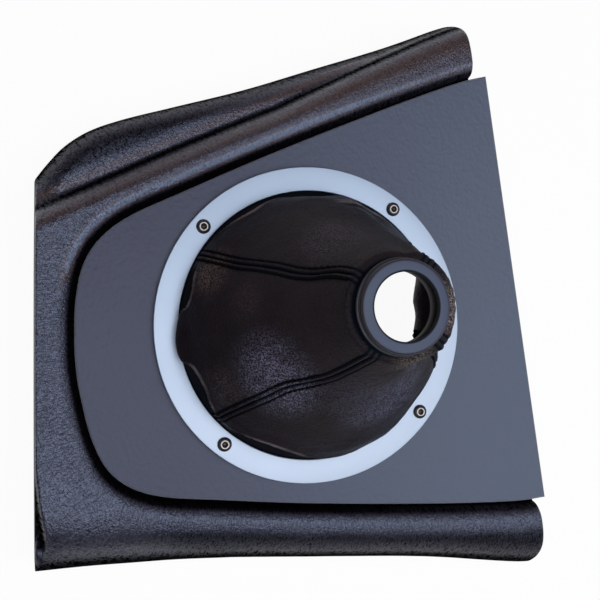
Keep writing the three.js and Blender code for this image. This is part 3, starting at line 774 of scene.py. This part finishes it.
def boot_relief(points, angle, height, offset):
    """Height of the leather's folds, seams and puckers above its plain shape."""
    degrees = np.degrees(angle) % 360
    seam = 0.6 * bump_at(offset, 1.4, 0.75) - 0.9 * bump_at(offset, 0, 0.42)
    seam -= 0.45 * bump_at(offset, STITCH_OFFSET, 0.42)
    broad = 0.9 * rough(points, 0.035, 2, 3.0)
    wrinkles = 0.22 * rough(points, 0.13, 3, 11.0)
    under_collar = np.exp(-np.clip(81 - height, 0, 60) / 5)
    round_collar = 1 - smoothstep(np.abs((degrees - 322 + 180) % 360 - 180), 52, 74)
    uneven = rough(points, 0.09, 2, 5.0)
    pleats = (0.08 + 0.5 * np.abs(uneven)) * np.sin(angle * PLEATS + 9 * uneven)
    pleats = pleats * under_collar * round_collar
    creases = 0.5 * creased(degrees, height, 3)
    seam = seam * (1 - 0.6 * smoothstep(np.cos(angle), 0.2, 0.6) * smoothstep(height, 50, 70))
    dent = -1.6 * bump_at((degrees + 180) % 360, 176, 28) * bump_at(height, 66, 9)
    calm = smoothstep(height, 1, 8) * (1 - smoothstep(height, 81, 86))
    sewn = (seam * smoothstep(height, 0, 3) + pleats) * (1 - smoothstep(height, 82, 87))
    return sewn + (broad + wrinkles + creases + dent) * calm


def creased(degrees, height, count):
    """Fine creases round the foot of the boot's upper right, where it's pulled tight."""
    lines = sum(bump_at(height, 12 + 2.8 * k + (degrees - 50) * 0.45, 0.9) for k in range(count))
    return lines * smoothstep(degrees, 44, 52) * (1 - smoothstep(degrees, 72, 84))


def boot_shade(points, angle, radius, height, offset):
    """Painted shade in the seams, their stitch rows, the pockets below the folds and under the collar;
    painted highlights on the fold crests, the welts and the creases.
    """
    degrees = np.degrees(angle) % 360
    crest, depth = fold_at(degrees)
    depth = np.clip(depth, 0, 4)
    dark = 1.2 * bump_at(offset, 0, 0.62) + 1.25 * bump_at(offset, STITCH_OFFSET, 0.62)
    dark = dark + 0.5 * (1 - smoothstep(height, crest * 0.3, crest * 0.85)) * smoothstep(depth, 0.4, 2)
    dark = dark + (1 - smoothstep(radius, 18.3, 19.6)) * smoothstep(height, 60, 80)
    light = 0.75 * bump_at(height, crest + 0.7, 1.0) * smoothstep(depth, 0.8, 2.6)
    light = light + 0.16 * bump_at(offset, 1.2, 0.45) * smoothstep(height, 4, 12)
    light = light + 1.5 * creased(degrees, height, 2)
    light = light * (0.55 + 0.9 * np.clip(rough(points, 0.07, 2, 19.0) + 0.5, 0, 1))
    return np.clip(light * (1 - dark) - dark, -1, 1)


def leather_boot(material):
    shares = np.linspace(0, 1, WALL_ROWS)
    rows, row_angles, row_radii, row_heights, row_offsets = [], [], [], [], []
    for share in shares:
        r, h = wall_profile(share, math.pi)
        angle, offset = boot_columns(h, r)
        radius, height = wall_profile(share, angle)
        radius = radius + fold_shape(angle, height)
        rows.append(boot_place(radius, height, angle))
        row_angles.append(angle)
        row_radii.append(radius)
        row_heights.append(height)
        row_offsets.append(offset)
    points, angle = np.array(rows), np.array(row_angles)
    height, offset = np.array(row_heights), np.array(row_offsets)
    relief = boot_relief(points, angle, height, offset)
    shade = boot_shade(points, angle, np.array(row_radii), height, offset)
    points = points + grid_normals(points) * relief[..., None]
    hem_angle = boot_columns(0, RING_INNER)[0]
    hem_height = RING_BOTTOM - RING_TOP
    hem_radii = (HEM_RADIUS, HEM_RADIUS - 3, HEM_INNER + 0.8, HEM_INNER + 0.1)
    hem = np.array([boot_place(r, hem_height, hem_angle) for r in hem_radii])
    neck_angle = boot_columns(COLLAR_HEIGHT, NECK_RADIUS)[0]
    across, away = NECK_RADIUS * np.cos(neck_angle), NECK_RADIUS * np.sin(neck_angle)
    turn = np.array(Matrix.Rotation(COLLAR_TILT, 3, "Y"))
    top = np.array((COLLAR_X, COLLAR_Y, RING_TOP + COLLAR_HEIGHT))
    neck = np.array([
        (turn @ np.stack([across, away, np.full(len(neck_angle), -depth)])).T + top
        for depth in NECK_DEPTHS
    ])
    points = np.concatenate([hem, points, neck], axis=0)
    # The hem under the ring and the neck under the collar are in full painted shade
    hidden = [np.full(part.shape[:2], -1.0) for part in (hem, neck)]
    shade = np.concatenate([hidden[0], shade, hidden[1]])
    columns = points.shape[1]
    run = np.concatenate([[0], np.cumsum(np.linalg.norm(np.diff(points[:, columns // 2], axis=0), axis=1))])
    turns = np.linspace(0, 1, columns)
    uv = np.stack(np.meshgrid(turns, run * MM), axis=2)
    bm = lattice(points, uv, shade, closed=True)
    bmesh.ops.recalc_face_normals(bm, faces=bm.faces)
    nodes = tuple(f"boot_panel_{side}" for side in ("left", "lower", "right", "upper"))
    piece = new_piece("leather_boot", bm, material, nodes)
    thick = piece.modifiers.new("leather", "SOLIDIFY")
    thick.thickness = LEATHER * MM
    thick.offset = -1
    return piece


def boot_stitches(material):
    """Thread beside the seams: each stitch is a short slanted bead that sits in its groove."""
    bm = bmesh.new()
    for seam in range(4):
        for side in (-1, 1):
            heights = np.linspace(*STITCHED_HEIGHTS, 600)
            shares = np.interp(heights, wall_profile(FINE_SHARES, math.pi)[1], FINE_SHARES)
            base_r = wall_profile(shares, math.pi)[0]
            angle = seam_angle(seam, heights) + side * STITCH_OFFSET / base_r
            radius, height = wall_profile(shares, angle)
            radius = radius + fold_shape(angle, height) - 0.05
            line = boot_place(radius, height, angle)
            run = np.concatenate([[0], np.cumsum(np.linalg.norm(np.diff(line, axis=0), axis=1))])
            middles = np.arange(STITCH_PITCH, run[-1] - 2, STITCH_PITCH)
            for middle in middles:
                start, end = (
                    np.array([np.interp(middle + s, run, line[:, j]) for j in range(3)])
                    for s in (-STITCH_HALF, STITCH_HALF)
                )
                turned = np.interp(middle, run, angle)
                out = np.array((math.cos(turned), math.sin(turned), 0.4))
                add_stitch(bm, start, end, out, side)
    return new_piece("boot_stitching", bm, material)


def add_stitch(bm, start, end, out, side):
    along = Vector(end - start)
    length = along.length
    x = along.normalized()
    z = (Vector(out) - x * Vector(out).dot(x)).normalized()
    y = z.cross(x)
    slant = 0.3 * side
    x = (x + y * slant).normalized()
    y = z.cross(x)
    turn = Matrix((x, y, z)).transposed().to_4x4()
    middle = Vector((start + end) / 2) + Vector((RING_MIDDLE.x, RING_MIDDLE.y, 0))
    size = Matrix.Diagonal((length * 0.62, 0.55, 0.4, 1))
    place = Matrix.Translation(middle * MM) @ turn @ size @ Matrix.Scale(MM, 4)
    bmesh.ops.create_uvsphere(bm, u_segments=8, v_segments=6, radius=1, matrix=place)


# Materials

# Share of the dull dark shader, painted shade, where a piece's shade is -1
FULL_SHADE_SHARE = 0.96


class Shade:
    """A socket of a material's tree. Sums, differences and products of it add Math nodes."""

    def __init__(self, finish, socket):
        self.finish = finish
        self.socket = socket

    def math(self, operation, *values):
        return self.finish.node("ShaderNodeMath", {"operation": operation}, *values)

    def __add__(self, other):
        return self.math("ADD", self, other)

    __radd__ = __add__

    def __sub__(self, other):
        return self.math("SUBTRACT", self, other)

    def __rsub__(self, other):
        return self.math("SUBTRACT", other, self)

    def __mul__(self, other):
        return self.math("MULTIPLY", self, other)

    __rmul__ = __mul__


class Finish:
    """A material with a Principled shader, and the nodes that feed it."""

    def __init__(self, name, color, roughness, metallic=0.0):
        self.material = bpy.data.materials.new(name)
        self.material.use_nodes = True
        self.tree = self.material.node_tree
        self.shader = self.tree.nodes["Principled BSDF"]
        self.set("Base Color", (*color, 1))
        self.set("Roughness", roughness)
        self.set("Metallic", metallic)

    def feed(self, socket, value):
        if isinstance(value, Shade):
            self.tree.links.new(value.socket, socket)
        else:
            socket.default_value = value

    def set(self, name, value):
        self.feed(self.shader.inputs[name], value)

    def node(self, kind, settings, *values, out=0, **named):
        """A node of a type, with its settings first, then its sockets' values or links."""
        made = self.tree.nodes.new(kind)
        for key, value in settings.items():
            setattr(made, key, value)
        inputs = [s for s in made.inputs if s.enabled]
        for socket, value in zip(inputs, values):
            self.feed(socket, value)
        for key, value in named.items():
            self.feed(made.inputs[key], value)
        return Shade(self, made.outputs[out])

    def place(self, scale=(1, 1, 1), turn=(0, 0, 0), shift=(0, 0, 0), uv=False):
        where = self.node("ShaderNodeTexCoord", {}, out=2 if uv else 3)
        return self.node("ShaderNodeMapping", {}, where, shift, turn, scale)

    def noise(self, place, scale, detail=3.0, roughness=0.55, distortion=0.0):
        return self.node(
            "ShaderNodeTexNoise", {},
            Vector=place, Scale=scale, Detail=detail, Roughness=roughness, Distortion=distortion,
        )

    def cells(self, place, scale):
        return self.node("ShaderNodeTexVoronoi", {"feature": "SMOOTH_F1"}, Vector=place, Scale=scale)

    def ramp(self, value, low, high, start=0.0, end=1.0):
        """Smooth change from start to end as the value goes from low to high."""
        settings = {"interpolation_type": "SMOOTHSTEP"}
        return self.node("ShaderNodeMapRange", settings, value, low, high, start, end)

    def mix(self, factor, a, b):
        """Colour between two colours."""
        colors = [c if isinstance(c, Shade) else (*c, 1) for c in (a, b)]
        made = self.tree.nodes.new("ShaderNodeMix")
        made.data_type = "RGBA"
        for number, value in zip((0, 6, 7), (factor, *colors)):
            self.feed(made.inputs[number], value)
        return Shade(self, made.outputs[2])

    def spot(self, where, radius, softness=0.6):
        """1 near a point of the object, fading to 0 at a distance from it."""
        here = self.node("ShaderNodeTexCoord", {}, out=3)
        far = self.node("ShaderNodeVectorMath", {"operation": "DISTANCE"}, here, where, out=1)
        return self.ramp(far, radius * MM * (1 - softness), radius * MM, 1.0, 0.0)

    def fade_to(self, other, share):
        """Mix the shader with another one, by a share."""
        both = self.tree.nodes.new("ShaderNodeMixShader")
        self.tree.links.new(share.socket, both.inputs[0])
        self.tree.links.new(self.shader.outputs[0], both.inputs[1])
        self.tree.links.new(other.outputs[0], both.inputs[2])
        self.tree.links.new(both.outputs[0], self.tree.nodes["Material Output"].inputs["Surface"])

    def fade_to_painted_shade(self, creases, color=(0.0016, 0.0013, 0.0016)):
        """Where the piece's shade is below 0, fade to a dull dark shader that returns little light: painted
        shade.

        Creases of the grain fade to it too, as far as their value says: painted shade in the grain's
        creases.
        """
        shade = self.node("ShaderNodeAttribute", {"attribute_name": "shade"}, out=2)
        dull = self.tree.nodes.new("ShaderNodeBsdfPrincipled")
        dull.inputs["Base Color"].default_value = (*color, 1)
        dull.inputs["Roughness"].default_value = 0.8
        dull.inputs["Specular IOR Level"].default_value = 0.0
        deep = self.node("ShaderNodeMapRange", {}, shade, -1.0, 0.0, FULL_SHADE_SHARE, 0.0)
        self.fade_to(dull, deep + creases)
        return shade

    def bump(self, height, distance, strength=1.0):
        far = distance * MM
        self.set("Normal", self.node("ShaderNodeBump", {}, Height=height, Distance=far, Strength=strength))


def grained_plastic():
    finish = Finish("grained_plastic", (0.012, 0.011, 0.013), 0.4)
    finish.set("Specular Tint", (0.68, 0.76, 1, 1))
    finish.set("Specular IOR Level", 1.0)
    streaks = finish.noise(finish.place((1, 0.36, 1), uv=True), 1350, 2.0, 0.6, 0.9)
    across = finish.noise(finish.place((0.5, 1, 1), uv=True), 1100, 2.0, 0.6, 0.6)
    pebbles = finish.cells(finish.place(), 1300)
    broad = finish.noise(finish.place(), 90, 2.0)
    finish.bump(streaks * 1.2 + across * 0.5 - pebbles * 0.4, 0.42, 0.85)
    tone = finish.ramp(broad, 0.35, 0.7)
    color = finish.mix(tone, (0.02, 0.0165, 0.026), (0.026, 0.022, 0.032))
    # Painted shade where the moulding's shade is below 0 and in the grain's creases
    shade = finish.fade_to_painted_shade(finish.ramp(streaks + across * 0.35, 0.72, 0.5, 0.0, 0.36))
    finish.set("Roughness", finish.ramp(broad, 0.3, 0.7, 0.3, 0.38))
    # Painted brown reflection, then painted sheen, where the moulding's shade is above 0
    color = finish.mix(finish.ramp(shade, 0.0, BROWN_REFLECTION), color, (0.054, 0.029, 0.021))
    finish.set("Base Color", finish.mix(finish.ramp(shade, BROWN_REFLECTION, SHEEN), color, (0.094, 0.106, 0.148)))
    return finish.material


def satin_plate(name, first, second):
    finish = Finish(name, first, 0.42)
    finish.set("Specular Tint", (0.8, 0.9, 1, 1))
    finish.set("Specular IOR Level", 0.3)
    fine = finish.noise(finish.place((1, 0.6, 1)), 420, 3.0, 0.6)
    cells = finish.cells(finish.place(), 520)
    broad = finish.noise(finish.place(), 9, 2.0)
    finish.bump(fine + cells * 0.8, 0.34, 0.8)
    finish.set("Roughness", finish.ramp(broad, 0.3, 0.7, 0.42, 0.5))
    # Base colour lighter towards the front and the lower side: painted light
    forward = finish.node("ShaderNodeSeparateXYZ", {}, finish.place())
    aside = finish.node("ShaderNodeSeparateXYZ", {}, finish.place(), out=1)
    change = finish.ramp(forward - aside * 0.3 + broad * 0.06, -0.05, 0.17)
    finish.set("Base Color", finish.mix(change, first, second))
    return finish.material


def ring_metal():
    finish = Finish("ring_metal", (0.45, 0.56, 0.75), 0.45, 0.25)
    fine = finish.noise(finish.place(), 900, 2.0)
    broad = finish.noise(finish.place(), 14, 3.0)
    finish.bump(fine, 0.03, 0.5)
    finish.set("Roughness", finish.ramp(broad, 0.3, 0.7, 0.4, 0.48))
    # Base colour darker towards the ring's upper side: painted light
    aside = finish.node("ShaderNodeSeparateXYZ", {}, finish.place(shift=(0, -RING_MIDDLE.y * MM, 0)), out=1)
    change = finish.ramp(aside + broad * 0.02, -0.06, 0.09)
    finish.set("Base Color", finish.mix(change, (0.485, 0.545, 0.635), (0.41, 0.49, 0.6)))
    return finish.material


# Place on the boot in metres, radius in millimetres, colour and strength of each patch: the first two are
# worn leather, the next six painted sheen, and the last two lighter brown patches beside the collar
WEAR_AND_SHEEN_PATCHES = (
    ((-0.0312, 0.0347, 0.0605), 16, (0.13, 0.085, 0.066), 0.8),
    ((-0.0231, 0.0202, 0.0841), 13, (0.05, 0.03, 0.03), 0.5),
    ((-0.0171, -0.0141, 0.089), 27, (0.13, 0.12, 0.17), 0.95),
    ((-0.034, -0.018, 0.066), 18, (0.055, 0.042, 0.043), 0.7),
    ((0.0288, -0.0307, 0.0947), 30, (0.09, 0.09, 0.14), 0.9),
    ((0.0113, -0.0276, 0.102), 20, (0.035, 0.035, 0.052), 0.7),
    ((0.0149, 0.0402, 0.1015), 22, (0.05, 0.04, 0.054), 0.8),
    ((0.047, 0.0364, 0.0881), 20, (0.04, 0.04, 0.055), 0.6),
    ((0.0435, 0.006, 0.127), 14, (0.24, 0.18, 0.168), 0.95),
    ((0.0295, -0.0121, 0.1269), 12, (0.105, 0.082, 0.068), 0.85),
)


def boot_leather():
    finish = Finish("boot_leather", (0.01, 0.0075, 0.0095), 0.5)
    finish.set("Specular IOR Level", 0.14)
    pores = finish.cells(finish.place(), 1100)
    wrinkles = finish.noise(finish.place((1, 1, 0.6)), 260, 4.0, 0.6, 0.9)
    fine = finish.noise(finish.place((1, 1, 0.7)), 800, 3.0, 0.6, 0.5)
    specks = finish.noise(finish.place((1, 1, 0.7)), 1700, 2.0, 0.6, 0.4)
    broad = finish.noise(finish.place(), 32, 3.0)
    finish.bump(wrinkles * 0.7 + fine * 0.6 + specks * 0.5 - pores * 0.3, 0.55, 0.85)
    color = finish.mix(finish.ramp(broad, 0.35, 0.7), (0.0085, 0.0044, 0.0068), (0.015, 0.0088, 0.012))
    # Worn patches and painted sheen patches, broken up by the grain
    wear_and_sheen_grain = finish.ramp(specks, 0.44, 0.62, 0.05, 1.9) * finish.ramp(wrinkles, 0.36, 0.6, 0.4, 1.0)
    for place, radius, patch, strength in WEAR_AND_SHEEN_PATCHES:
        color = finish.mix(finish.spot(place, radius, 0.95) * wear_and_sheen_grain * strength, color, patch)
    # Painted shade, dull blue-black, where the boot's shade is below 0 and in the grain's creases
    shade = finish.fade_to_painted_shade(finish.ramp(specks, 0.5, 0.34, 0.0, 0.35), (0.004, 0.0068, 0.0105))
    finish.set("Roughness", finish.ramp(broad, 0.3, 0.7, 0.44, 0.54))
    # Painted highlight where the boot's shade is above 0
    finish.set("Base Color", finish.mix(finish.ramp(shade, 0.05, 0.9) * 0.85, color, (0.2, 0.16, 0.16)))
    return finish.material


def thread():
    finish = Finish("black_thread", (0.002, 0.0016, 0.002), 0.85)
    finish.set("Specular IOR Level", 0.06)
    bands = {"bands_direction": "DIAGONAL"}
    twist = finish.node("ShaderNodeTexWave", bands, Vector=finish.place(), Scale=900.0)
    finish.bump(twist, 0.06, 0.6)
    finish.set("Base Color", finish.mix(twist, (0.0012, 0.001, 0.0012), (0.004, 0.0034, 0.004)))
    return finish.material


def collar_plastic():
    finish = Finish("collar_plastic", (0.035, 0.038, 0.055), 0.38)
    finish.set("Specular Tint", (0.75, 0.87, 1, 1))
    fine = finish.noise(finish.place(), 800, 2.0)
    broad = finish.noise(finish.place(), 60, 2.0)
    finish.bump(fine, 0.03, 0.4)
    # Outside the face the rim gets a brown-grey colour and some metallic, which darkens it: painted shade
    # on the rim
    face = finish.spot(tuple(COLLAR_PLACE.translation), COLLAR_FACE + 0.2, 0.11)
    finish.set("Metallic", 0.4 - face * 0.4)
    color = finish.mix(broad, (0.023, 0.025, 0.052), (0.032, 0.034, 0.066))
    # Black and rougher at the hole's edge: painted shade
    hole = finish.spot(tuple(COLLAR_PLACE.translation), COLLAR_HOLE + 1, 0.04)
    finish.set("Roughness", finish.ramp(broad, 0.3, 0.7, 0.36, 0.42) + hole * 0.5)
    color = finish.mix(hole, color, (0.0012, 0.0012, 0.0014))
    finish.set("Base Color", finish.mix(face, (0.03, 0.025, 0.026), color))
    return finish.material


def sleeve_plastic():
    finish = Finish("sleeve_plastic", (0.01, 0.007, 0.007), 0.6)
    finish.set("Specular IOR Level", 0.16)
    finish.set("Specular Tint", (1, 0.72, 0.9, 1))
    fine = finish.noise(finish.place((1, 1, 0.2)), 500, 2.0)
    finish.bump(fine, 0.05, 0.5)
    finish.set("Base Color", finish.mix(fine, (0.007, 0.005, 0.005), (0.013, 0.009, 0.009)))
    return finish.material


def steel(name, dark, light, roughness):
    finish = Finish(name, dark, roughness, 0.9)
    fine = finish.noise(finish.place(), 1500, 3.0)
    finish.bump(fine, 0.03, 0.5)
    finish.set("Roughness", finish.ramp(fine, 0.3, 0.7, roughness - 0.05, roughness + 0.08))
    finish.set("Base Color", finish.mix(fine, dark, light))
    return finish.material


# Floor, lights and camera

# Half the floor's side in metres, and share of plain white in what the camera sees of it
FLOOR_HALF = 40
FLOOR_SHARE = 0.94


def add_floor():
    """Pale floor: it shows white behind the object and keeps the object's shadow."""
    bm = bmesh.new()
    bmesh.ops.create_grid(bm, x_segments=1, y_segments=1, size=FLOOR_HALF)
    mesh = bpy.data.meshes.new("floor")
    bm.to_mesh(mesh)
    bm.free()
    floor = in_scene("floor", mesh)
    finish = Finish("floor_white", (0.85, 0.85, 0.86), 0.8)
    path = finish.tree.nodes.new("ShaderNodeLightPath")
    seen = Shade(finish, path.outputs["Is Camera Ray"]) + Shade(finish, path.outputs["Is Glossy Ray"])
    seen = seen + Shade(finish, path.outputs["Is Transmission Ray"])
    white = finish.tree.nodes.new("ShaderNodeEmission")
    white.inputs["Color"].default_value = (1, 1, 1, 1)
    finish.fade_to(white, seen * FLOOR_SHARE)
    mesh.materials.append(finish.material)


def add_light(name, place, aim, size, radiance, color):
    """Soft rectangular lamp that faces a point, as bright as its radiance says."""
    data = bpy.data.lights.new(name, "AREA")
    data.shape = "RECTANGLE"
    data.size, data.size_y = size
    data.energy = radiance * math.pi * size[0] * size[1]
    data.color = color
    lamp = in_scene(name, data)
    lamp.location = place
    lamp.rotation_euler = (Vector(aim) - Vector(place)).to_track_quat("-Z", "Y").to_euler()


def light_scene():
    add_light("overhead", (0.1, -0.13, 1.0), (0.1, -0.13, 0.0), (1.25, 0.95), 3.1, (0.86, 0.91, 1.0))
    add_light("right_side", (0.8, -0.35, 0.6), (0, 0, 0.04), (0.5, 0.5), 2.0, (0.85, 0.92, 1.0))
    add_light("left_side", (-0.9, -0.6, 0.45), (0, 0, 0.04), (0.5, 0.4), 0.4, (0.85, 0.9, 1.0))
    add_light("warm_card", (0.1, 1.1, 0.4), (0, 0, 0.04), (1.2, 0.4), 0.8, (1.0, 0.74, 0.7))
    world = bpy.data.worlds.new("studio")
    bpy.context.scene.world = world
    world.use_nodes = True
    dim = world.node_tree.nodes["Background"]
    dim.inputs["Color"].default_value = (0.9, 0.93, 1, 1)
    dim.inputs["Strength"].default_value = 0.04


CAMERA_PLACE = (-0.09947, 0.02899, 0.4467)
CAMERA_TURN = (0.564, -15.466, -9.392)
CAMERA_LENS = 54


def add_camera():
    data = bpy.data.cameras.new("camera")
    data.lens = CAMERA_LENS
    data.sensor_width = 36
    data.sensor_fit = "HORIZONTAL"
    data.clip_start = 0.01
    camera = in_scene("camera", data)
    camera.location = CAMERA_PLACE
    camera.rotation_euler = Euler([math.radians(a) for a in CAMERA_TURN], "XYZ")
    bpy.context.scene.camera = camera


def dress_nodes(material):
    """The fasteners under the plate keep their CAD shapes."""
    for name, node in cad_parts.items():
        if name.startswith(("ring_washer", "ring_nut", "plate_stud", "stud_nut")):
            node.data.materials.clear()
            node.data.materials.append(material)


bpy.context.scene.view_settings.view_transform = "Standard"
add_camera()
add_floor()
light_scene()

console_moulding(grained_plastic())
trim_plate((
    satin_plate("satin_plate", (0.058, 0.055, 0.084), (0.094, 0.108, 0.146)),
    # Lighter copy of the plate's material for the chamfer: painted highlight
    satin_plate("satin_plate_edge_highlight", (0.14, 0.14, 0.17), (0.17, 0.17, 0.21)),
))
rounded_ring(ring_metal())
# Screw steels: the dark dome, the lighter land with a painted highlight, and the socket in painted shade
screw_finishes = (
    steel("dark_steel", (0.06, 0.06, 0.065), (0.10, 0.095, 0.095), 0.42),
    steel("land_steel_highlight", (0.3, 0.265, 0.25), (0.44, 0.4, 0.38), 0.4),
    steel("socket_shade", (0.05, 0.04, 0.035), (0.09, 0.07, 0.06), 0.5),
)
for count, screw_angle in enumerate(SCREW_ANGLES):
    ring_screw(count + 1, screw_angle, 20 + 25 * count, screw_finishes)
collar(collar_plastic())
sleeve(sleeve_plastic())
leather_boot(boot_leather())
boot_stitches(thread())
dress_nodes(steel("zinc_steel", (0.3, 0.29, 0.27), (0.42, 0.41, 0.39), 0.38))
